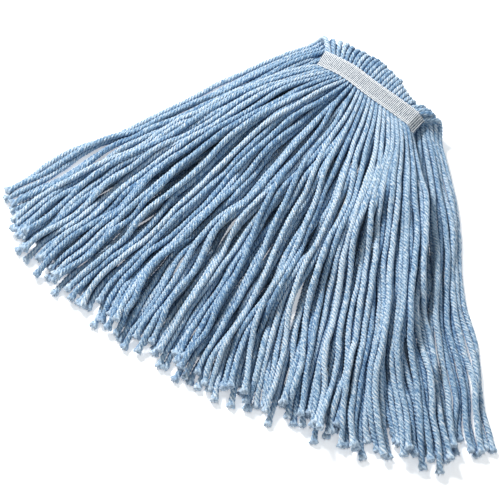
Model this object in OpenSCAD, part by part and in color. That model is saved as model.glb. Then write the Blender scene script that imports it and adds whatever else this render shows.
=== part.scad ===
// Cut-end wet mop head: a flat headband sewn across loose yarns that fold under it and fan out.
// X runs along the headband, the yarns lie towards -Y, Z is up.
// The origin is the middle of the front tape's outer face.

/* [Headband] */
// Length of the woven tape along X
band_l = 165; // [140:1:200]
// Width of the tape
band_w = 25.4; // [20:0.2:40]
// Thickness of the tape
tape_t = 1.2; // [0.8:0.1:2]
// Clear height inside the fold, tape included
fold_gap = 8; // [6:0.5:14]

/* [Yarns] */
// Columns of yarns in the two inner locks, each
inner_cols = 6; // [3:1:8]
// Columns of yarns in the two outer locks, each
outer_cols = 7; // [3:1:8]
// Bare tape past the yarns at each end
bare_end = 0.6; // [0.3:0.1:6]
// How much thicker a yarn is at its cut end than under the tape
swell = 1.18; // [1:0.01:1.2]
// Reach of the front yarns from the tape's front edge
front_l = 455; // [300:5:600]
// Reach of the rear yarns from the end of the fold
rear_l = 460; // [300:5:600]
// How much the cut ends differ in length, either way
ragged = 9; // [0:1:20]

/* [Fan] */
// Turn of the leftmost front yarn
front_left = -20; // [-30:1:0]
// Turn of the rightmost front yarn
front_right = 43; // [20:1:50]
// Turn of the leftmost rear yarn
rear_left = -26; // [-36:1:0]
// Turn of the rightmost rear yarn
rear_right = 47.5; // [20:0.5:52]
// Extra space between two locks at the tape, in columns
lock_gap = 0.75; // [0.7:0.05:1.2]

/* [Stitching] */
// Diameter of the sewing thread
thread_d = 0.8; // [0.5:0.1:1]
// Length of one stitch
stitch = 7.5; // [5:0.5:12]
// Seam line to the tape's edge
seam_in = 3.2; // [2:0.1:6]

/* [Hidden] */
$fn = 48;
rows = 4;
cols = 2 * (inner_cols + outer_cols);
yarns = cols * rows;
first = [0, outer_cols, outer_cols + inner_cols, outer_cols + 2 * inner_cols, cols];
// Turn of a rear yarn at a share t of the way across
function turn(t) = rear_left + (rear_right - rear_left) * t;
function lock_start(c) = c == first[1] || c == first[2] || c == first[3];
// Step from column c - 1 to column c, in columns: wider where the yarns leave at a slant
function step(c) = 1 / cos(turn(c / cols))
    + (lock_start(c) ? lock_gap + 3 * max(0, tan(turn(c / cols))) : 0);
function run(c) = c == 0 ? 0 : run(c - 1) + step(c);
// The tape squeezes the yarns side by side, so its length sets their thickness
col_pitch = (band_l - 2 * bare_end) / (run(cols - 1) + 1.5);
yarn_d = 0.91 * col_pitch;
tip_d = swell * yarn_d;
row_pitch = 1.01 * col_pitch;
lean = 0.18 * col_pitch;
rise = 0.6 * col_pitch;
let_go = 15;
edge = band_w / 2;
span = band_l / 2 - 2.5;
// The closer the cut ends of the front yarns lie, the steeper the steps between their rows
tip_pitch = (2 * span + front_l * (front_right - front_left) * PI / 180) / yarns;
front_rise = rise * max(1, pow(1.2 * tip_d / tip_pitch, 2));
// Heights: row 0 is the inside of the fold, the last row the outside
function up(k) = -tape_t - yarn_d / 2 - (rows - 1 - k) * row_pitch;
mid_z = up(0) - yarn_d / 2 - fold_gap / 2;
function down(k) = 2 * mid_z - up(k);
floor_z = down(rows - 1) - yarn_d / 2;
function col_x(c) = (run(c) - run(cols - 1) / 2) * col_pitch;
function yarn_x(c, k) = col_x(c) + (k - 1.5) * lean;
function share(c, k) = (c * rows + k + 0.5) / yarns;
function uneven(c, k) = ragged * sin(137.5 * (c * rows + k));
// Where a front or rear yarn starts and where its cut end lies
function front_a(c, k) = [yarn_x(c, k), -edge, up(k)];
function front_turn(c, k) = front_left + (front_right - front_left) * share(c, k);
function front_b(c, k) = [
    span * (2 * share(c, k) - 1) + (front_l + uneven(c, k)) * sin(front_turn(c, k)),
    -edge - (front_l + uneven(c, k)) * cos(front_turn(c, k)),
    floor_z + 1.5 * tip_d + 0.5 + (rows - 1 + k) * front_rise
];
function rear_a(c, k) = [yarn_x(c, k), edge, down(k)];
function rear_turn(c, k) = turn(share(c, k));
function rear_b(c, k) = [
    span * (2 * share(c, k) - 1) + (rear_l + uneven(c, k + 7)) * sin(rear_turn(c, k)),
    edge - (rear_l + uneven(c, k + 7)) * cos(rear_turn(c, k)),
    floor_z + tip_d / 2 + (rows - 1 - k) * rise
];
seam_y = edge - seam_in;
stitches = floor((band_l - 8) / stitch);
low_z = up(0) - yarn_d / 2 - tape_t;
blue = [0.36, 0.47, 0.62];
pale = [0.93, 0.93, 0.9];
echo(pitch = col_pitch, yarn = yarn_d, tip = tip_d, mid = mid_z, low = low_z, floor = floor_z);
echo(rear_axis = [edge + (up(0) + up(3)) / 2 - mid_z, mid_z], stitches = stitches);

// A round yarn from a to b, started early so that it can be cut flush with the tape's edge.
// It swells fastest in its first stretch, where the tape lets go of it
module yarn(a, b) {
    v = b - a;
    l = norm(v);
    early = 6;
    eased_d = yarn_d + 0.12 * (tip_d - yarn_d);
    translate(a)
        rotate([0, acos(v[2] / l), atan2(v[1], v[0])]) {
            translate([0, 0, -early])
                cylinder(h = early + let_go, d1 = yarn_d, d2 = eased_d);
            translate([0, 0, let_go])
                cylinder(h = l - let_go, d1 = eased_d, d2 = tip_d);
        }
}

module past_edge(y) {
    translate([-band_l, y, floor_z - 20])
        cube([2 * band_l, 40, 100]);
}

module front_lock(n) {
    color(blue)
        for (c = [first[n]:first[n + 1] - 1])
            for (k = [0:rows - 1])
                difference() {
                    yarn(front_a(c, k), front_b(c, k));
                    past_edge(-edge);
                }
}

module rear_lock(n) {
    color(blue)
        for (c = [first[n]:first[n + 1] - 1])
            for (k = [0:rows - 1])
                difference() {
                    yarn(rear_a(c, k), rear_b(c, k));
                    past_edge(edge);
                }
}

module crown(n) {
    color(blue)
        for (c = [first[n]:first[n + 1] - 1])
            for (k = [0:rows - 1])
                translate([yarn_x(c, k), edge, mid_z])
                    rotate([90, 0, 90])
                        rotate([0, 0, -90])
                            rotate_extrude(angle = 180)
                                translate([up(k) - mid_z, 0])
                                    circle(d = yarn_d);
}

// The seam's holes through tapes and yarns
module needle_holes(play) {
    for (side = [-1, 1])
        for (i = [0:stitches])
            translate([(i - stitches / 2) * stitch, side * seam_y, low_z - 1])
                cylinder(h = 1 - low_z + 1, d = thread_d + play);
}

module band_yarns(n) {
    color(blue)
        difference() {
            for (c = [first[n]:first[n + 1] - 1])
                for (k = [0:rows - 1])
                    translate([yarn_x(c, k), edge, up(k)])
                        rotate([90, 0, 0])
                            cylinder(h = band_w, d = yarn_d);
            needle_holes(0.2);
        }
}

module tape(z, groove_z) {
    color(pale)
        difference() {
            translate([-band_l / 2, -edge, z])
                cube([band_l, band_w, tape_t]);
            needle_holes(0.2);
            for (side = [-1, 1])
                translate([-stitches * stitch / 2 - thread_d, side * seam_y - thread_d / 2 - 0.1, groove_z])
                    cube([stitches * stitch + 2 * thread_d, thread_d + 0.2, thread_d + 0.05]);
        }
}

// The needle thread lies along the front tape and goes down at every stitch
module needle_thread(side) {
    color(pale) {
        translate([-stitches * stitch / 2, side * seam_y, -thread_d / 2])
            rotate([0, 90, 0])
                cylinder(h = stitches * stitch, d = thread_d);
        for (i = [0:stitches])
            translate([(i - stitches / 2) * stitch, side * seam_y, low_z + thread_d])
                cylinder(h = -low_z - 1.5 * thread_d, d = thread_d);
    }
}

module bobbin_thread(side) {
    color(pale)
        translate([-stitches * stitch / 2, side * seam_y, low_z + thread_d / 2])
            rotate([0, 90, 0])
                cylinder(h = stitches * stitch, d = thread_d);
}

tape(-tape_t, -thread_d - 0.05);  // front_tape
tape(low_z, low_z);  // rear_tape
needle_thread(1);  // upper_needle_thread
needle_thread(-1);  // lower_needle_thread
bobbin_thread(1);  // upper_bobbin_thread
bobbin_thread(-1);  // lower_bobbin_thread
band_yarns(0);  // band_yarns_left
band_yarns(1);  // band_yarns_mid_left
band_yarns(2);  // band_yarns_mid_right
band_yarns(3);  // band_yarns_right
crown(0);  // crown_left
crown(1);  // crown_mid_left
crown(2);  // crown_mid_right
crown(3);  // crown_right
front_lock(0);  // front_left_lock
front_lock(1);  // front_mid_left_lock
front_lock(2);  // front_mid_right_lock
front_lock(3);  // front_right_lock
rear_lock(0);  // rear_left_lock
rear_lock(1);  // rear_mid_left_lock
rear_lock(2);  // rear_mid_right_lock
rear_lock(3);  // rear_right_lock
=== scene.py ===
import math
import bpy
import numpy as np
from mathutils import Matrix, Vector


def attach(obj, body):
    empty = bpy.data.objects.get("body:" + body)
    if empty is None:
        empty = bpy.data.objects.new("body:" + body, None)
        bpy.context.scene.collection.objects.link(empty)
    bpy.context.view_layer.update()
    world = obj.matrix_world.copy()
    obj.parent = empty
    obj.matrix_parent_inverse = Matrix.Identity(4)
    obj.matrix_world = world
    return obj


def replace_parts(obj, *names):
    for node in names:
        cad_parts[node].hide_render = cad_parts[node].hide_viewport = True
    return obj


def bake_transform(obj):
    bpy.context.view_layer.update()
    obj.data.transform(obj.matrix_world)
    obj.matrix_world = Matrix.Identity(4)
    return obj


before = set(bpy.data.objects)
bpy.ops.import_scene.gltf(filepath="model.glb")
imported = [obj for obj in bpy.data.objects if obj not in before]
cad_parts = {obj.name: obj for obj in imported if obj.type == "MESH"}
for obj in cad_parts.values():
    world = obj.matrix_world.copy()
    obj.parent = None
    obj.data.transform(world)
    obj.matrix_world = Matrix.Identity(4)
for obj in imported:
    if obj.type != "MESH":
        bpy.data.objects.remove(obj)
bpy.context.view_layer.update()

# Lengths are in millimetres and turn into metres when a piece's mesh is made.
# A place along the tape is v, from -1 at its left end to 1 at its right end.
# A yarn is known by its column c, from the left, and its row k, from the inside of the fold out.

# how many yarns there are, how they are grouped and how far they reach
mop = dict(
    seed=24,
    columns=26,             # yarns side by side under the tape
    rows=4,                 # yarns on top of each other under the tape
    rowRise=4.9,
    squeezed=2.6,           # from the middle of a yarn under the tape to the tape
    locks=(                 # name, name of its nodes, first column, column after the last
        ("Left", "left", 0, 7),
        ("MidLeft", "mid_left", 7, 13),
        ("MidRight", "mid_right", 13, 19),
        ("Right", "right", 19, 26),
    ),
    frontReach=455,         # from the tape's front edge to the cut ends
    rearReach=462,
    frontFan=(-20, 43),     # turn of the outermost yarns, degrees
    rearFan=(-26, 47.5),
    leaving=95,             # how far a yarn keeps the heading that it leaves with
    frontLanding=(170, 8),  # over how long, and how far, the yarns turn before their cut ends
    rearLanding=(105, 4),
    slack=34,               # how soon a yarn comes down on the ones under it
    uneven=8, skewCut=6,    # how ragged and how crooked the cut line is
    parting=-0.31,          # where the top yarns part to the left and right
    floor=-48.0,            # the floor, measured from the tape's outer face
)
tape = dict(
    length=165, width=25.4, thick=1.2,
    rise=1.2,               # the middle stands higher than the flat tape
    leftDrop=3.5, rightDrop=5.0,
    turnDown=8.0,           # the right end bends down over the yarns
    hump=4.2, humpAt=-0.5,  # a slight bend towards the crown
    skew=0.24,              # the left end is cut at a slant
    rearShort=(5, 18),      # the rear tape ends this much before the front one, left and right
    ribPitch=2.25, ribHeight=0.42,
    rim=11.2,               # the ribs stop this far from the middle line
)

rng = np.random.default_rng(mop["seed"])
halfLength, halfWidth = tape["length"] / 2, tape["width"] / 2
yarnSpan = halfLength - 2.5
lastRow = mop["rows"] - 1


def smooth(t):
    t = np.clip(t, 0, 1)
    return t * t * (3 - 2 * t)


def tapeRise(x):
    # height of the tape's outer face above or below its flat place
    v = np.asarray(x, float) / halfLength
    drop = np.where(v < 0, tape["leftDrop"], tape["rightDrop"])
    turnedDown = tape["turnDown"] * smooth((v - 0.86) / 0.14)
    return tape["rise"] - (drop + tape["rise"]) * np.abs(v) ** 2.4 - turnedDown


def tapeBow(x):
    v = np.asarray(x, float) / halfLength
    return tape["hump"] * np.exp(-((v - tape["humpAt"]) / 0.42) ** 2) - 1.8


def squashAt(x):
    # the stack of yarns is lower where the tape dips, and most of all under its turned-down end
    return 1 + tapeRise(x + 3 * smooth(5 * x / halfLength - 4)) / -mop["floor"]


def frontHeight(k):
    # height of a yarn's middle over the floor where it passes under the front tape
    return -mop["floor"] - tape["thick"] - mop["squeezed"] - (lastRow - k) * mop["rowRise"]


def rearHeight(k):
    return mop["squeezed"] + (lastRow - k) * mop["rowRise"]


def columnPlace(c):
    v = (2 * c + 1) / mop["columns"] - 1
    return v, v * (halfLength - 2)


def headingAt(turn):
    # the way a yarn lies in plan: 0 degrees runs straight away from the tape's front edge
    return np.array([math.sin(turn), -math.cos(turn)])


def frontRootTurn(v, level):
    # the top yarns splay most where the tape lets go of them
    gentle = 10 + 34 * v
    splayed = 3 + 30 * v + 22 * math.tanh(7 * (v - mop["parting"]))
    return math.radians(gentle + (splayed - gentle) * level)


def rearRootTurn(v):
    return math.radians(10.5 + 42.5 * v)


def cutOrder(half):
    # which place each yarn takes along the cut line, counted from the left
    wish = {}
    for c in range(mop["columns"]):
        v = columnPlace(c)[0]
        share = (v + 1) / 2
        for k in range(mop["rows"]):
            level = k / lastRow
            if half == "front":
                parted = share * 0.75 if v < mop["parting"] else 1 - (1 - share) * 0.70
                wish[c, k] = share + (parted - share) * level ** 2
            else:
                wish[c, k] = share + 0.05 * (level - 0.5) * v ** 3
            wish[c, k] += rng.uniform(-0.4, 0.4) / mop["columns"]
    return {key: (i + 0.5) / len(wish) for i, key in enumerate(sorted(wish, key=wish.get))}


# the wander of the yarns: wavelength and size, with waves across the fan between them where shared
sway = dict(
    own=((215, 1.4), (120, 0.8), (66, 0.36), (37, 0.14)),
    shared=((270, 3.5, 3.6), (165, 7, 1.6), (110, 12, 0.6)),
    easeIn=110,
)
sharedPhases = {half: rng.uniform(0, 2 * np.pi, len(sway["shared"])) for half in ("front", "rear")}


def swayOf(s, u, own, shared):
    away = sum(size * np.sin(2 * np.pi * s / wave + p) for (wave, size), p in zip(sway["own"], own))
    away = away + sum(size * np.sin(2 * np.pi * (s / wave + u * n) + p)
                      for (wave, n, size), p in zip(sway["shared"], shared))
    return away * smooth(s / sway["easeIn"]) * (0.7 + 0.5 * s / 450)


# The pile: heights over the floor, one for each square millimetre, which grow as yarns are laid on
pileCorner = np.array([-340.0, -530.0])
pile = np.zeros((830, 640))


def pileIndex(x, y):
    i = np.clip((x - pileCorner[0]).astype(int), 0, pile.shape[0] - 1)
    j = np.clip((y - pileCorner[1]).astype(int), 0, pile.shape[1] - 1)
    return i, j


def restHeight(xy, side, radius):
    # lowest height of the yarn's middle at which it clears the pile
    best = radius.copy()
    for o in np.linspace(-0.8, 0.8, 7):
        p = xy + side * (o * radius)[:, None]
        best = np.maximum(best, pile[pileIndex(p[:, 0], p[:, 1])] + radius * math.sqrt(1 - o * o))
    return best


def layInto(xy, side, height, radius):
    for o in np.linspace(-1, 1, 9):
        p = xy + side * (o * radius)[:, None]
        top = height + radius * math.sqrt(max(0, 1 - o * o))
        np.maximum.at(pile, pileIndex(p[:, 0], p[:, 1]), top)


def bezier(a, b, c, d, n):
    t = np.linspace(0, 1, n)[:, None]
    return (1 - t) ** 3 * a + 3 * (1 - t) ** 2 * t * b + 3 * (1 - t) * t ** 2 * c + t ** 3 * d


def evenly(points, step):
    # the same line with its points a step apart, and how far along it each one is
    gap = np.linalg.norm(np.diff(points, axis=0), axis=1)
    run = np.concatenate([[0], np.cumsum(gap)])
    s = np.linspace(0, run[-1], max(8, int(run[-1] / step)))
    return np.stack([np.interp(s, run, points[:, i]) for i in range(points.shape[1])], 1), s


def softened(values, reach):
    n = int(reach * 3)
    weight = np.exp(-0.5 * (np.arange(-n, n + 1) / reach) ** 2)
    return np.convolve(np.pad(values, n, mode="edge"), weight / weight.sum(), mode="valid")


def sideways(xy):
    along = np.gradient(xy, axis=0)
    along /= np.linalg.norm(along, axis=1)[:, None]
    return np.stack([-along[:, 1], along[:, 0]], 1)


yarn = dict(
    rootRadius=2.75, radius=3.55, plies=4,
    lay=19.5,               # one turn of the twist
    around=16, step=2.2,    # points round the yarn, and the distance between its rings
    plyDepth=0.125,         # how far the plies stand out
    lumps=0.024,            # how much the thickness wanders, and over what lengths
    lumpWaves=(31, 17, 9.5),
    flareLength=11, flare=0.42,
    fibres=22,              # loose fibres at a cut end
)
# the crown: the bend behind the tape, where the yarns turn under
crown = dict(
    reach=34.5,             # how far the outermost bend stands out behind the tape
    leftSpread=58, rightSpread=50,   # how far the end yarns swing out past the tape
    gap=0.70,               # to the right of this the bends sweep round the tape's end
    most=6.5,               # no yarn rises further than this over the flat tape
    soften=8,               # the last stretch before that, where they press into each other
)


def freeHalf(half, start, startHeight, startTurn, u):
    # one free half of a yarn, from where it leaves the tape or the crown to its cut end
    fan, reach, (settle, extra) = mop[half + "Fan"], mop[half + "Reach"], mop[half + "Landing"]
    turn = math.radians(fan[0] + (fan[1] - fan[0]) * u)
    long = reach + mop["uneven"] * float(np.clip(rng.normal(), -1.7, 1.7))
    # the cut line is a little longer at the left and shorter in the middle
    long += mop["skewCut"] * (smooth(1 - u / 0.35) - math.sin(math.pi * max(0, (u - 0.25) / 0.75)))
    edge = -halfWidth if half == "front" else halfWidth
    end = np.array([(2 * u - 1) * yarnSpan, edge]) + headingAt(turn) * long
    line = bezier(start, start + headingAt(startTurn) * mop["leaving"],
                  end - headingAt(turn + math.radians(extra)) * settle, end, 240)
    xy, s = evenly(line, yarn["step"])
    phases = rng.uniform(0, 2 * np.pi, len(sway["own"]))
    xy = xy + sideways(xy) * swayOf(s, u, phases, sharedPhases[half])[:, None]
    side = sideways(xy)
    loosened = yarn["radius"] * rng.uniform(0.95, 1.06) - yarn["rootRadius"]
    radius = yarn["rootRadius"] + loosened * smooth(s / 120)
    # the yarn bridges dips in the pile that are too short for it to bend into
    need = restHeight(xy, side, radius)
    near = np.max([np.roll(np.pad(need, 5, mode="edge"), r)[5:-5] for r in range(-4, 5)], axis=0)
    height = softened(np.maximum(softened(near, 4), need - 0.6), 2)
    down = s / mop["slack"]
    height = height + (startHeight - height[0]) * (1 + down) * np.exp(-down)
    # where many cross, they press into each other instead of towering over the tape
    soften = crown["soften"]
    bound = crown["most"] - mop["floor"] - radius - soften
    height = np.where(height > bound, bound + soften * np.tanh((height - bound) / soften), height)
    layInto(xy, side, height, radius)
    return np.column_stack([xy, height + mop["floor"]]), radius


def bend(v, x, k, startTurn):
    # the stretch of a yarn that turns under behind the tape
    level = k / lastRow
    squash = float(squashAt(x))
    back = halfWidth + float(tapeBow(x))
    top = np.array([x, back, mop["floor"] + squash * frontHeight(k)])
    swing = v ** 3 * (crown["leftSpread"] if v < 0 else crown["rightSpread"]) * (0.45 + 0.55 * level)
    lowHeight = squash * rearHeight(k) + 9 * abs(v) ** 3
    low = np.array([x + swing, back - 12 * max(0, v) ** 3, mop["floor"] + lowHeight])
    # how far each bend leans to its side: the last ones on the right sweep round the tape's end
    swept = float(smooth((v - crown["gap"] + 0.06) / 0.12))
    lean = math.radians(4 - 62 * abs(v) ** 1.5 if v < 0 else 4 + 5 * v + 46 * swept) * (0.80 + 0.20 * level)
    lean += math.radians(rng.uniform(-2, 2) + (4 if k % 2 else -4) * smooth((-v - 0.3) / 0.3))
    # how far it stands out
    leftPull = 0.10 * smooth((-v - 0.6) / 0.4)
    rightPull = 0.50 * smooth((v - 0.1) / 0.6) * (1 - 0.6 * swept)
    reach = crown["reach"] * (1 - leftPull - rightPull) * rng.uniform(0.94, 1.05)
    inner = 0.30 + 0.55 * float(smooth((-v - 0.1) / 0.5))
    handle = reach / 0.75 * (inner + (1 - inner) * level)
    out = np.array([math.sin(lean), math.cos(lean), 0.30])
    away = np.array([-math.sin(startTurn), math.cos(startTurn), 0])
    return bezier(top, top + out * handle, low + away * handle, low, 80)


# The rear halves are laid first, outermost row at the bottom, and the front halves on top of them
paths = {}
order = cutOrder("rear")
for k in reversed(range(mop["rows"])):
    for c in rng.permutation(mop["columns"]):
        v, x = columnPlace(c)
        startTurn = rearRootTurn(v)
        turned = bend(v, x, k, startTurn)
        startHeight = turned[-1, 2] - mop["floor"]
        free, radius = freeHalf("rear", turned[-1, :2], startHeight, startTurn, order[c, k])
        turned, s = evenly(turned, yarn["step"])
        # a yarn is thicker round the fold, where nothing presses on it
        turnedRadius = yarn["rootRadius"] + 0.4 * smooth(s / 12)
        radius = radius + 0.4 * np.exp(-np.arange(len(radius)) * yarn["step"] / 60)
        paths["rear", c, k] = np.vstack([turned[:-1], free]), np.concatenate([turnedRadius[:-1], radius])
order = cutOrder("front")
for k in range(mop["rows"]):
    for c in rng.permutation(mop["columns"]):
        v, x = columnPlace(c)
        start = np.array([x, -halfWidth + float(tapeBow(x))])
        startHeight = float(squashAt(x)) * frontHeight(k)
        startTurn = frontRootTurn(v, (k / lastRow) ** 0.75)
        paths["front", c, k] = freeHalf("front", start, startHeight, startTurn, order[c, k])
print("yarns laid:", len(paths))


def carried(points):
    # directions across the path that turn as little as possible along it
    along = np.gradient(points, axis=0)
    along /= np.linalg.norm(along, axis=1)[:, None]
    up = np.array([0.0, 0.0, 1.0])
    ups = []
    for a in along:
        up = up - a * (up @ a)
        up = up / np.linalg.norm(up)
        ups.append(up)
    ups = np.array(ups)
    return along, ups, np.cross(along, ups)


def spinYarn(points, radius, phase, tone, cutEnd=True, around=yarn["around"], plyDepth=yarn["plyDepth"]):
    # one plied yarn as a closed tube, with its place in the twist for the wool's streaks
    n = len(points)
    along, ups, sides = carried(points)
    gap = np.linalg.norm(np.diff(points, axis=0), axis=1)
    s = np.concatenate([[0], np.cumsum(gap)])
    fromEnd = s[-1] - s
    flare = smooth(1 - fromEnd / yarn["flareLength"]) if cutEnd else np.zeros(n)
    share = np.arange(around) / around
    # the twist opens up towards a cut end
    turned = np.concatenate([[0], np.cumsum(gap * (1 - 0.6 * flare[1:]) / yarn["lay"])])
    angle = 2 * np.pi * (share - turned[:, None]) + phase
    depth = plyDepth + 0.12 * flare[:, None]
    thick = radius * (1 + yarn["flare"] * flare ** 1.5)
    for wave in yarn["lumpWaves"]:
        thick = thick * (1 + yarn["lumps"] * np.sin(2 * np.pi * s / wave + rng.uniform(0, 2 * np.pi)))
    r = thick[:, None] * (1 + depth * np.cos(2 * np.pi * yarn["plies"] * share))
    if cutEnd:
        r[-1] *= rng.uniform(0.8, 1.12, around)
    outward = np.cos(angle)[..., None] * ups[:, None] + np.sin(angle)[..., None] * sides[:, None]
    ring = points[:, None] + r[..., None] * outward
    if cutEnd:
        ring[-1] += along[-1] * rng.uniform(-1.3, 1.1, (around, 1))
        ring[..., 2] = np.maximum(ring[..., 2], mop["floor"] + 0.15)
    tips = np.array([points[-1] + along[-1] * (0.8 if cutEnd else 0.3), points[0] - along[0] * 0.3])
    verts = np.vstack([ring.reshape(-1, 3), tips])
    # walls between the rings, then a fan of triangles on each end
    i = np.arange(around)
    j = (i + 1) % around
    base = np.arange(n - 1)[:, None] * around
    quads = np.stack([base + i, base + j, base + around + j, base + around + i], -1).reshape(-1, 4)
    last = (n - 1) * around
    tris = np.vstack([np.stack([last + i, last + j, np.full(around, n * around)], 1),
                      np.stack([j, i, np.full(around, n * around + 1)], 1)])
    alongs = np.stack([s[:-1], s[:-1], s[1:], s[1:]], 1)[:, None].repeat(around, 1)
    arounds = np.stack([share, share + 1 / around, share + 1 / around, share], 1)[None].repeat(n - 1, 0)
    endArounds = np.stack([share, share + 1 / around, share], 1)
    triUvs = [np.stack([np.full((around, 3), s[at]), endArounds], -1) for at in (-1, 0)]
    endness = np.exp(-fromEnd / 4) if cutEnd else np.zeros(n)
    endness = np.concatenate([np.repeat(endness, around), [1.4 if cutEnd else 0, 0]])
    return dict(verts=verts, quads=quads, quadUvs=np.stack([alongs, arounds], -1).reshape(-1, 4, 2),
                tris=tris, triUvs=np.vstack(triUvs), tone=np.full(len(verts), tone), endness=endness)


def fray(points, radius, tone):
    # loose fibres that stand out of a cut end, each a thin three-sided spike
    along = points[-1] - points[-4]
    along /= np.linalg.norm(along)
    up = np.cross(along, [0, 0, 1.0])
    up /= np.linalg.norm(up)
    side = np.cross(along, up)
    verts, tris = [], []
    for _ in range(yarn["fibres"]):
        a = rng.uniform(0, 2 * np.pi)
        off = math.cos(a) * up + math.sin(a) * side
        root = points[-1] + off * radius[-1] * math.sqrt(rng.uniform(0.05, 1.1)) - along * 1.5
        way = along + off * rng.uniform(0.05, 0.55) + rng.normal(size=3) * 0.12
        way /= np.linalg.norm(way)
        long = rng.uniform(2.5, 5.5)
        droop = rng.normal(size=3) * 0.5
        across = np.cross(way, [0.3, 0.5, 0.8])
        across /= np.linalg.norm(across)
        other = np.cross(way, across)
        first = len(verts)
        for p, r in ((root, 0.34), (root + way * long * 0.5, 0.26), (root + way * long + droop, 0.08)):
            for q in range(3):
                b = 2 * np.pi * q / 3
                verts.append(p + (across * math.cos(b) + other * math.sin(b)) * r)
        for start in (first, first + 3):
            for q in range(3):
                a0, a1 = start + q, start + (q + 1) % 3
                tris += [(a0, a1, a1 + 3), (a0, a1 + 3, a0 + 3)]
        tris.append((first + 6, first + 7, first + 8))
    verts = np.array(verts)
    verts[:, 2] = np.maximum(verts[:, 2], mop["floor"] + 0.2)
    return dict(verts=verts, quads=np.zeros((0, 4), int), quadUvs=np.zeros((0, 4, 2)), tris=np.array(tris),
                triUvs=np.tile([[[0.0, 0.0], [3, 0.01], [3, -0.01]]], (len(tris), 1, 1)),
                tone=np.full(len(verts), tone), endness=np.ones(len(verts)))


def makePiece(name, parts, material):
    # joins parts into one object, and turns millimetres into metres
    counts = [len(p["verts"]) for p in parts]
    bases = np.cumsum([0] + counts[:-1])
    quads = np.vstack([p["quads"] + base for p, base in zip(parts, bases)])
    tris = np.vstack([p["tris"] + base for p, base in zip(parts, bases)])
    verts = np.vstack([p["verts"] for p in parts]) * 0.001
    loops = np.concatenate([quads.reshape(-1), tris.reshape(-1)])
    starts = np.concatenate([np.arange(len(quads)) * 4, len(quads) * 4 + np.arange(len(tris)) * 3])
    mesh = bpy.data.meshes.new(name)
    mesh.vertices.add(len(verts))
    mesh.vertices.foreach_set("co", verts.astype(np.float32).ravel())
    mesh.loops.add(len(loops))
    mesh.loops.foreach_set("vertex_index", loops.astype(np.int32))
    mesh.polygons.add(len(starts))
    mesh.polygons.foreach_set("loop_start", starts.astype(np.int32))
    mesh.update(calc_edges=True)
    mesh.validate()
    mesh.polygons.foreach_set("use_smooth", np.ones(len(mesh.polygons), bool))
    uvs = [p["quadUvs"].reshape(-1) for p in parts] + [p["triUvs"].reshape(-1) for p in parts]
    mesh.uv_layers.new(name="alongAndAround").data.foreach_set("uv", np.concatenate(uvs).astype(np.float32))
    for key in ("tone", "endness"):
        layer = mesh.attributes.new(key, "FLOAT", "POINT")
        layer.data.foreach_set("value", np.concatenate([p[key] for p in parts]).astype(np.float32))
    mesh.materials.append(material)
    piece = bpy.data.objects.new(name, mesh)
    bpy.context.scene.collection.objects.link(piece)
    return piece


def newMaterial(name):
    material = bpy.data.materials.new(name)
    material.use_nodes = True
    material.node_tree.nodes.clear()
    return material, material.node_tree


def node(tree, kind, **values):
    # values go to the node's sockets where it has one of that name, or else to the node itself
    made = tree.nodes.new(kind)
    for key, value in values.items():
        if hasattr(made, key) and key not in made.inputs:
            setattr(made, key, value)
        else:
            made.inputs[key].default_value = value
    return made


def maths(tree, operation, *values):
    made = tree.nodes.new("ShaderNodeMath")
    made.operation = operation
    for socket, value in zip(made.inputs, values):
        if isinstance(value, (int, float)):
            socket.default_value = value
        else:
            tree.links.new(value, socket)
    return made.outputs[0]


def plus(tree, a, b):
    return maths(tree, "ADD", a, b)


def minus(tree, a, b):
    return maths(tree, "SUBTRACT", a, b)


def times(tree, a, b):
    return maths(tree, "MULTIPLY", a, b)


def held(tree, value, low, high):
    return maths(tree, "MINIMUM", maths(tree, "MAXIMUM", value, low), high)


def placed(tree, *values):
    # a vector from its two or three parts
    made = tree.nodes.new("ShaderNodeCombineXYZ")
    for socket, value in zip(made.inputs, values):
        tree.links.new(value, socket)
    return made.outputs[0]


def alongAndAround(tree):
    # millimetres along a yarn, and the share of the way round it; on the tape, millimetres both ways
    uv = node(tree, "ShaderNodeUVMap", uv_map="alongAndAround").outputs[0]
    parts = node(tree, "ShaderNodeSeparateXYZ")
    tree.links.new(uv, parts.inputs[0])
    return parts.outputs[0], parts.outputs[1]


def noise(tree, place, **values):
    made = node(tree, "ShaderNodeTexNoise", **values)
    tree.links.new(place, made.inputs["Vector"])
    return made.outputs["Fac"]


def ramp(tree, source, *stops):
    made = tree.nodes.new("ShaderNodeValToRGB")
    while len(made.color_ramp.elements) < len(stops):
        made.color_ramp.elements.new(0.5)
    for element, (place, colour) in zip(made.color_ramp.elements, stops):
        element.position = place
        element.color = (*colour, 1)
    tree.links.new(source, made.inputs[0])
    return made.outputs[0]


def mixed(tree, kind, amount, a, b):
    made = tree.nodes.new("ShaderNodeMix")
    made.data_type = "RGBA"
    made.blend_type = kind
    for i, x in ((0, amount), (6, a), (7, b)):
        if isinstance(x, (int, float)):
            made.inputs[i].default_value = x
        elif isinstance(x, tuple):
            made.inputs[i].default_value = (*x, 1)
        else:
            tree.links.new(x, made.inputs[i])
    return made.outputs[2]


def finishSkin(tree, skin, height, strength, distance):
    # raises the surface by a height and hands the skin over to the material
    bump = node(tree, "ShaderNodeBump", Strength=strength, Distance=distance)
    tree.links.new(height, bump.inputs["Height"])
    tree.links.new(bump.outputs[0], skin.inputs["Normal"])
    out = node(tree, "ShaderNodeOutputMaterial")
    tree.links.new(skin.outputs[0], out.inputs[0])


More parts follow.
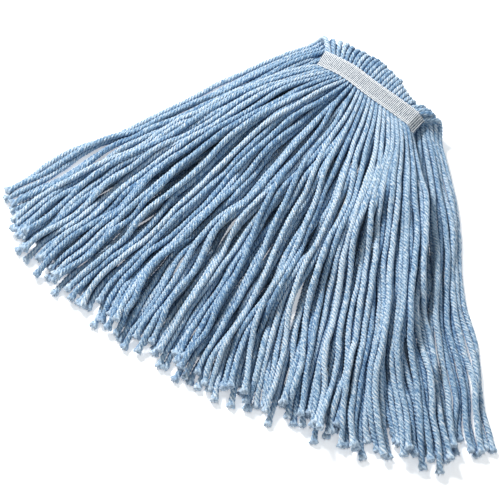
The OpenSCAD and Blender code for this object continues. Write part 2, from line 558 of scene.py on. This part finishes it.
# the wool: the colours of its fibres, and what shades them
heather = dict(
    dark=(0.13, 0.265, 0.45),
    blue=(0.345, 0.515, 0.67),
    pale=(0.62, 0.76, 0.86),
    lint=(0.93, 0.965, 0.99),
    seatShade=(0.50, 0.62, 0.75),    # painted shade: the groove between two plies takes the colour down by this
    nearSeatShade=(0.84, 0.89, 0.93),
    gapShade=(0.07, 0.20, 0.42),    # and so does painted shade in a gap between yarns
    nearGapShade=(0.59, 0.73, 0.87),
    frayed=(0.66, 0.78, 0.90),  # the open fibres of a cut end
    plyTone=0.07, yarnTone=0.12,    # how much plies, and whole yarns, differ in tone
    streakLength=0.16, streaksAround=7.0, streakTwist=0.022,
)


def makeYarnWool():
    material, tree = newMaterial("heatheredBlueYarn")
    along, around = alongAndAround(tree)
    tone = node(tree, "ShaderNodeAttribute", attribute_name="tone").outputs["Fac"]
    endness = node(tree, "ShaderNodeAttribute", attribute_name="endness").outputs["Fac"]
    plies = float(yarn["plies"])
    # which ply of the yarn this is, and a tone of its own for it
    ply = maths(tree, "FLOOR", plus(tree, times(tree, around, plies), 0.5))
    plyTone = node(tree, "ShaderNodeTexWhiteNoise", noise_dimensions="3D")
    plyPlace = placed(tree, maths(tree, "MODULO", ply, plies), times(tree, tone, 71.0))
    tree.links.new(plyPlace, plyTone.inputs["Vector"])
    # fibres: long thin streaks that follow the twist
    streakAround = minus(tree, around, times(tree, along, heather["streakTwist"]))
    spot = placed(tree, times(tree, along, heather["streakLength"]),
                  times(tree, streakAround, heather["streaksAround"]), times(tree, tone, 93.0))
    streak = noise(tree, spot, Scale=1.6, Detail=4.0, Roughness=0.62)
    fine = noise(tree, spot, Scale=5.2, Detail=3.0, Roughness=0.72)
    mix = plus(tree, times(tree, streak, 1.05), times(tree, fine, 0.35))
    mix = plus(tree, mix, times(tree, minus(tree, plyTone.outputs["Value"], 0.5), heather["plyTone"]))
    mix = plus(tree, mix, times(tree, minus(tree, tone, 0.5), heather["yarnTone"]))
    colour = ramp(tree, mix, (0.56, heather["dark"]), (0.655, heather["blue"]),
                  (0.74, heather["pale"]), (0.83, heather["lint"]))
    # painted shade: the base colour is darkened in the seat between two plies
    astray = times(tree, minus(tree, fine, 0.5), 0.22)
    ridge = maths(tree, "COSINE", times(tree, plus(tree, around, astray), 2 * math.pi * plies))
    shade = ramp(tree, plus(tree, times(tree, ridge, 0.5), 0.5),
                 (0.0, heather["seatShade"]), (0.4, heather["nearSeatShade"]), (1.0, (1, 1, 1)))
    colour = mixed(tree, "MULTIPLY", 1.0, colour, shade)
    # painted shade: little light reaches the gaps between yarns, so the ambient occlusion darkens the base
    # colour there to a deeper blue
    hollow = node(tree, "ShaderNodeAmbientOcclusion", Distance=0.007, samples=4)
    paintedGapShade = ramp(tree, hollow.outputs["AO"],
                 (0.12, heather["gapShade"]), (0.5, heather["nearGapShade"]), (0.85, (1, 1, 1)))
    colour = mixed(tree, "MULTIPLY", 1.0, colour, paintedGapShade)
    frayed = times(tree, maths(tree, "MINIMUM", endness, 1.0), 0.55)
    colour = mixed(tree, "MIX", frayed, colour, heather["frayed"])
    # each ply is itself a twist of fibres lying the other way
    turns = minus(tree, times(tree, around, plies), times(tree, along, 0.62))
    wave = maths(tree, "SINE", times(tree, turns, 2 * math.pi))
    fuzz = plus(tree, times(tree, wave, 0.2), times(tree, mix, 3.2))
    fuzz = plus(tree, fuzz, times(tree, ridge, 0.25))
    skin = node(tree, "ShaderNodeBsdfPrincipled", Roughness=0.92)
    skin.inputs["Specular IOR Level"].default_value = 0.18
    skin.inputs["Sheen Weight"].default_value = 0.35
    skin.inputs["Sheen Roughness"].default_value = 0.5
    skin.inputs["Sheen Tint"].default_value = (0.75, 0.85, 1.0, 1)
    tree.links.new(colour, skin.inputs["Base Color"])
    finishSkin(tree, skin, fuzz, 0.7, 0.0012)
    return material


def makeLock(half, lockName, cadName, columns):
    # the free halves of one lock's yarns; a rear half has its bend round the fold with it
    parts = []
    for c in columns:
        for k in range(mop["rows"]):
            points, radius = paths[half, c, k]
            parts.append(spinYarn(points, radius, phases[c, k], tones[c, k]))
            parts.append(fray(points, radius, tones[c, k]))
    lock = makePiece(half + lockName + "Yarns", parts, yarnWool)
    if half == "front":
        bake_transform(lock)
        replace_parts(lock, f"front_{cadName}_lock")
    else:
        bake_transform(lock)
        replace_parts(lock, f"rear_{cadName}_lock", f"crown_{cadName}")


def makeBandYarns(lockName, cadName, columns):
    # the stretch of each yarn squeezed between the tapes
    rings, reach = 14, halfWidth + 0.5
    parts = []
    for c in columns:
        for k in range(mop["rows"]):
            x = columnPlace(c)[1]
            z = mop["floor"] + float(squashAt(x)) * frontHeight(k)
            y = np.linspace(reach, -reach, rings) + float(tapeBow(x))
            points = np.column_stack([np.full(rings, x), y, np.full(rings, z)])
            parts.append(spinYarn(points, np.full(rings, 2.9), phases[c, k], tones[c, k], cutEnd=False))
    band = makePiece("bandYarns" + lockName, parts, yarnWool)
    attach(band, "headband")
    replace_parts(band, f"band_yarns_{cadName}")


yarnWool = makeYarnWool()
tones = rng.uniform(0, 1, (mop["columns"], mop["rows"]))
phases = rng.uniform(0, 2 * np.pi, (mop["columns"], mop["rows"]))
for lockName, cadName, first, end in mop["locks"]:
    makeLock("front", lockName, cadName, range(first, end))
    makeLock("rear", lockName, cadName, range(first, end))
    makeBandYarns(lockName, cadName, range(first, end))
print("locks of yarn made")


# the tape's cloth: its own white, and the yarn that shows between the ribs, darkened with painted shade
cloth = dict(white=(0.76, 0.78, 0.80), between=(0.05, 0.09, 0.14), weftPitch=0.9)


def makeTapeCloth():
    material, tree = newMaterial("ribbedWhiteTape")
    along, across = alongAndAround(tree)
    # the ribs wobble a little, and finer threads cross them
    spot = placed(tree, times(tree, along, 0.9), times(tree, across, 0.12))
    wobble = noise(tree, spot, Scale=1.0, Detail=2.0)
    turns = plus(tree, times(tree, along, 2 * math.pi / tape["ribPitch"]), times(tree, wobble, 2.0))
    rib = maths(tree, "SINE", turns)
    weft = maths(tree, "SINE", times(tree, across, 2 * math.pi / cloth["weftPitch"]))
    rim = held(tree, times(tree, minus(tree, maths(tree, "ABSOLUTE", across), tape["rim"]), 1.4), 0.0, 1.0)
    # yarn shows through between two ribs, more in some places than in others; its dark colour is partly the
    # yarn's own blue and partly painted shade
    see = held(tree, times(tree, plus(tree, times(tree, rib, -1.0), 0.25), 0.9), 0.0, 1.0)
    see = times(tree, see, minus(tree, 1.0, rim))
    patches = noise(tree, placed(tree, along, across), Scale=0.35, Detail=2.0)
    worn = plus(tree, times(tree, minus(tree, patches, 0.5), 2.6), 0.95)
    see = maths(tree, "MINIMUM", times(tree, see, held(tree, worn, 0.25, 1.2)), 1.0)
    skin = node(tree, "ShaderNodeBsdfPrincipled", Roughness=0.8)
    skin.inputs["Specular IOR Level"].default_value = 0.25
    tree.links.new(mixed(tree, "MIX", see, cloth["white"], cloth["between"]), skin.inputs["Base Color"])
    finishSkin(tree, skin, plus(tree, rib, times(tree, weft, 0.35)), 0.6, 0.0006)
    return material


def makeTape(name, height, face):
    # face 1 is the front tape's outer side, -1 the rear tape's
    nx, ny = 580, 26
    short = (0, 0) if face > 0 else tape["rearShort"]
    lengthwise = np.linspace(-halfLength + short[0], halfLength - short[1], nx)
    gx, gy = np.meshgrid(lengthwise, np.linspace(-halfWidth, halfWidth, ny), indexing="ij")
    fromMiddle = np.abs(gy)
    rib = np.sin(2 * np.pi * gx / tape["ribPitch"]) * tape["ribHeight"] * 0.5
    rib = rib * smooth((tape["rim"] - fromMiddle) / 1.6)
    # the cloth dips between the yarns under it and is held down by the seams
    lumps = 0.12 * np.cos(2 * np.pi * (gx / ((tape["length"] - 4) / mop["columns"])) + np.pi)
    seamDip = -0.35 * np.exp(-((fromMiddle - 9.6) / 0.8) ** 2)
    relief = rib + lumps + seamDip
    raggedEdge = 0.4 * np.sin(gx * 0.9 + 1.3 * np.sin(gx * 0.23)) * smooth((fromMiddle - 10) / 2.7)
    # the left end is cut at a slant, and the ribs near it lean with it
    x = gx - gy * tape["skew"] * smooth((-gx / halfLength - 0.5) / 0.5)
    y = gy + tapeBow(gx) + raggedEdge * np.sign(gy)
    middle = tapeRise(gx) * (1 if face > 0 else 0.6) + height
    top = middle + tape["thick"] / 2 + (relief if face > 0 else 0)
    bottom = middle - tape["thick"] / 2 + (relief if face < 0 else 0)
    verts = np.vstack([np.stack([x, y, z], -1).reshape(-1, 3) for z in (top, bottom)])
    # the upper face, the lower face and the wall round them
    count = nx * ny
    at = np.arange(count).reshape(nx, ny)
    upper = np.stack([at[:-1, :-1], at[1:, :-1], at[1:, 1:], at[:-1, 1:]], -1).reshape(-1, 4)
    lower = upper[:, ::-1] + count
    rim = np.concatenate([at[:, 0], at[-1, 1:], at[-2::-1, -1], at[0, -2:0:-1]])
    following = np.roll(rim, -1)
    wall = np.stack([rim, rim + count, following + count, following], -1)
    quads = np.concatenate([upper, lower, wall])
    flat = np.tile(np.stack([gx, gy], -1).reshape(-1, 2), (2, 1))
    part = dict(verts=verts, quads=quads, quadUvs=flat[quads], tris=np.zeros((0, 3), int),
                triUvs=np.zeros((0, 3, 2)), tone=np.zeros(2 * count), endness=np.zeros(2 * count))
    piece = makePiece(name, [part], tapeCloth)
    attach(piece, "headband")
    return piece


tapeCloth = makeTapeCloth()
rearTapeTop = mop["floor"] + frontHeight(0) - mop["squeezed"]
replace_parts(makeTape("frontTape", -tape["thick"] / 2, 1), "front_tape")
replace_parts(makeTape("rearTape", rearTapeTop - tape["thick"] / 2, -1), "rear_tape")


# the two seams that hold the tapes together through the yarns
seam = dict(
    stitch=3.75,
    inset=3.2,              # from the tape's edge
    radius=0.42,
    colour=(0.9, 0.9, 0.9),
)


def makeThreadMaterial():
    material, tree = newMaterial("whiteSewingThread")
    along, around = alongAndAround(tree)
    turns = plus(tree, times(tree, along, 1.6), times(tree, around, 3.0))
    skin = node(tree, "ShaderNodeBsdfPrincipled", Roughness=0.55)
    skin.inputs["Base Color"].default_value = (*seam["colour"], 1)
    finishSkin(tree, skin, maths(tree, "SINE", times(tree, turns, 2 * math.pi)), 0.5, 0.0002)
    return material


def makeSeam(name, side, face, height):
    # a sewing thread that dips into the cloth at every stitch
    short = (0, 0) if face > 0 else tape["rearShort"]
    x = np.linspace(-halfLength + short[0] + 3, halfLength - short[1] - 3, 700)
    beat = np.abs(np.cos(np.pi * x / seam["stitch"]))
    y = side * (halfWidth - seam["inset"]) + tapeBow(x) + 0.25 * np.sin(x * 0.4)
    z = tapeRise(x) * (1 if face > 0 else 0.6) + height + face * (0.25 + 0.55 * beat ** 0.5 - 0.6)
    points = evenly(np.column_stack([x, y, z]), 0.5)[0]
    radius = np.full(len(points), seam["radius"])
    part = spinYarn(points, radius, 0.0, 0.5, cutEnd=False, around=6, plyDepth=0.0)
    return makePiece(name, [part], threadMaterial)


threadMaterial = makeThreadMaterial()
rearFace = rearTapeTop - tape["thick"]
for name, cadName, side, face, height in (
        ("upperNeedleThread", "upper_needle_thread", 1, 1, 0.0),
        ("lowerNeedleThread", "lower_needle_thread", -1, 1, 0.0),
        ("upperBobbinThread", "upper_bobbin_thread", 1, -1, rearFace),
        ("lowerBobbinThread", "lower_bobbin_thread", -1, -1, rearFace)):
    thread = makeSeam(name, side, face, height)
    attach(thread, "headband")
    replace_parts(thread, cadName)
print("headband made")


# the plain pale floor and the soft studio light, in metres
studio = dict(
    floorSize=14, floorShade=0.93,
    floorGlow=0.40,         # keeps the floor near white where the light falls off
    air=(0.90, 0.96, 1.0), airStrength=0.42,
    aim=(0.0, -0.2, 0),
    key=dict(place=(-1.5, 0.15, 1.75), size=0.55, power=82),
    fill=dict(place=(1.6, -1.4, 1.6), size=1.6, power=5),
)


def layFloor():
    under = mop["floor"] * 0.001 - 0.0002
    bpy.ops.mesh.primitive_plane_add(size=studio["floorSize"], location=(0, 0, under))
    floor = bpy.context.object
    floor.name = "floor"
    material, tree = newMaterial("whitePaper")
    skin = node(tree, "ShaderNodeBsdfPrincipled", Roughness=0.9)
    skin.inputs["Base Color"].default_value = (*[studio["floorShade"]] * 3, 1)
    skin.inputs["Emission Color"].default_value = (1, 1, 1, 1)
    skin.inputs["Emission Strength"].default_value = studio["floorGlow"]
    out = node(tree, "ShaderNodeOutputMaterial")
    tree.links.new(skin.outputs[0], out.inputs[0])
    floor.data.materials.append(material)


def fillAir():
    world = bpy.data.worlds.new("studioAir")
    bpy.context.scene.world = world
    world.use_nodes = True
    background = world.node_tree.nodes["Background"]
    background.inputs[0].default_value = (*studio["air"], 1)
    background.inputs[1].default_value = studio["airStrength"]


def hangSoftbox(name, box):
    light = bpy.data.lights.new(name, "AREA")
    light.shape = "RECTANGLE"
    light.size = light.size_y = box["size"]
    light.energy = box["power"]
    lamp = bpy.data.objects.new(name, light)
    bpy.context.scene.collection.objects.link(lamp)
    lamp.location = box["place"]
    aim = Vector(studio["aim"]) - Vector(box["place"])
    lamp.rotation_euler = aim.to_track_quat("-Z", "Y").to_euler()


layFloor()
fillAir()
hangSoftbox("keySoftbox", studio["key"])
hangSoftbox("fillSoftbox", studio["fill"])

# the camera: how far round, how high, how far away, and what it looks at
eye = dict(azimuth=40.3, elevation=59.0, distance=1.8, lens=102.5, target=(0.022, -0.271, -0.048))


def placeCamera():
    camera = bpy.data.cameras.new("studioCamera")
    camera.lens = eye["lens"]
    camera.sensor_width = 36
    stand = bpy.data.objects.new("studioCamera", camera)
    bpy.context.scene.collection.objects.link(stand)
    turn, tilt = math.radians(eye["azimuth"]), math.radians(eye["elevation"])
    back = Vector((math.sin(turn) * math.cos(tilt), -math.cos(turn) * math.cos(tilt), math.sin(tilt)))
    stand.location = Vector(eye["target"]) + back * eye["distance"]
    stand.rotation_euler = (-back).to_track_quat("-Z", "Y").to_euler()
    bpy.context.scene.camera = stand


placeCamera()
bpy.context.scene.view_settings.view_transform = "Standard"
print("studio set up")
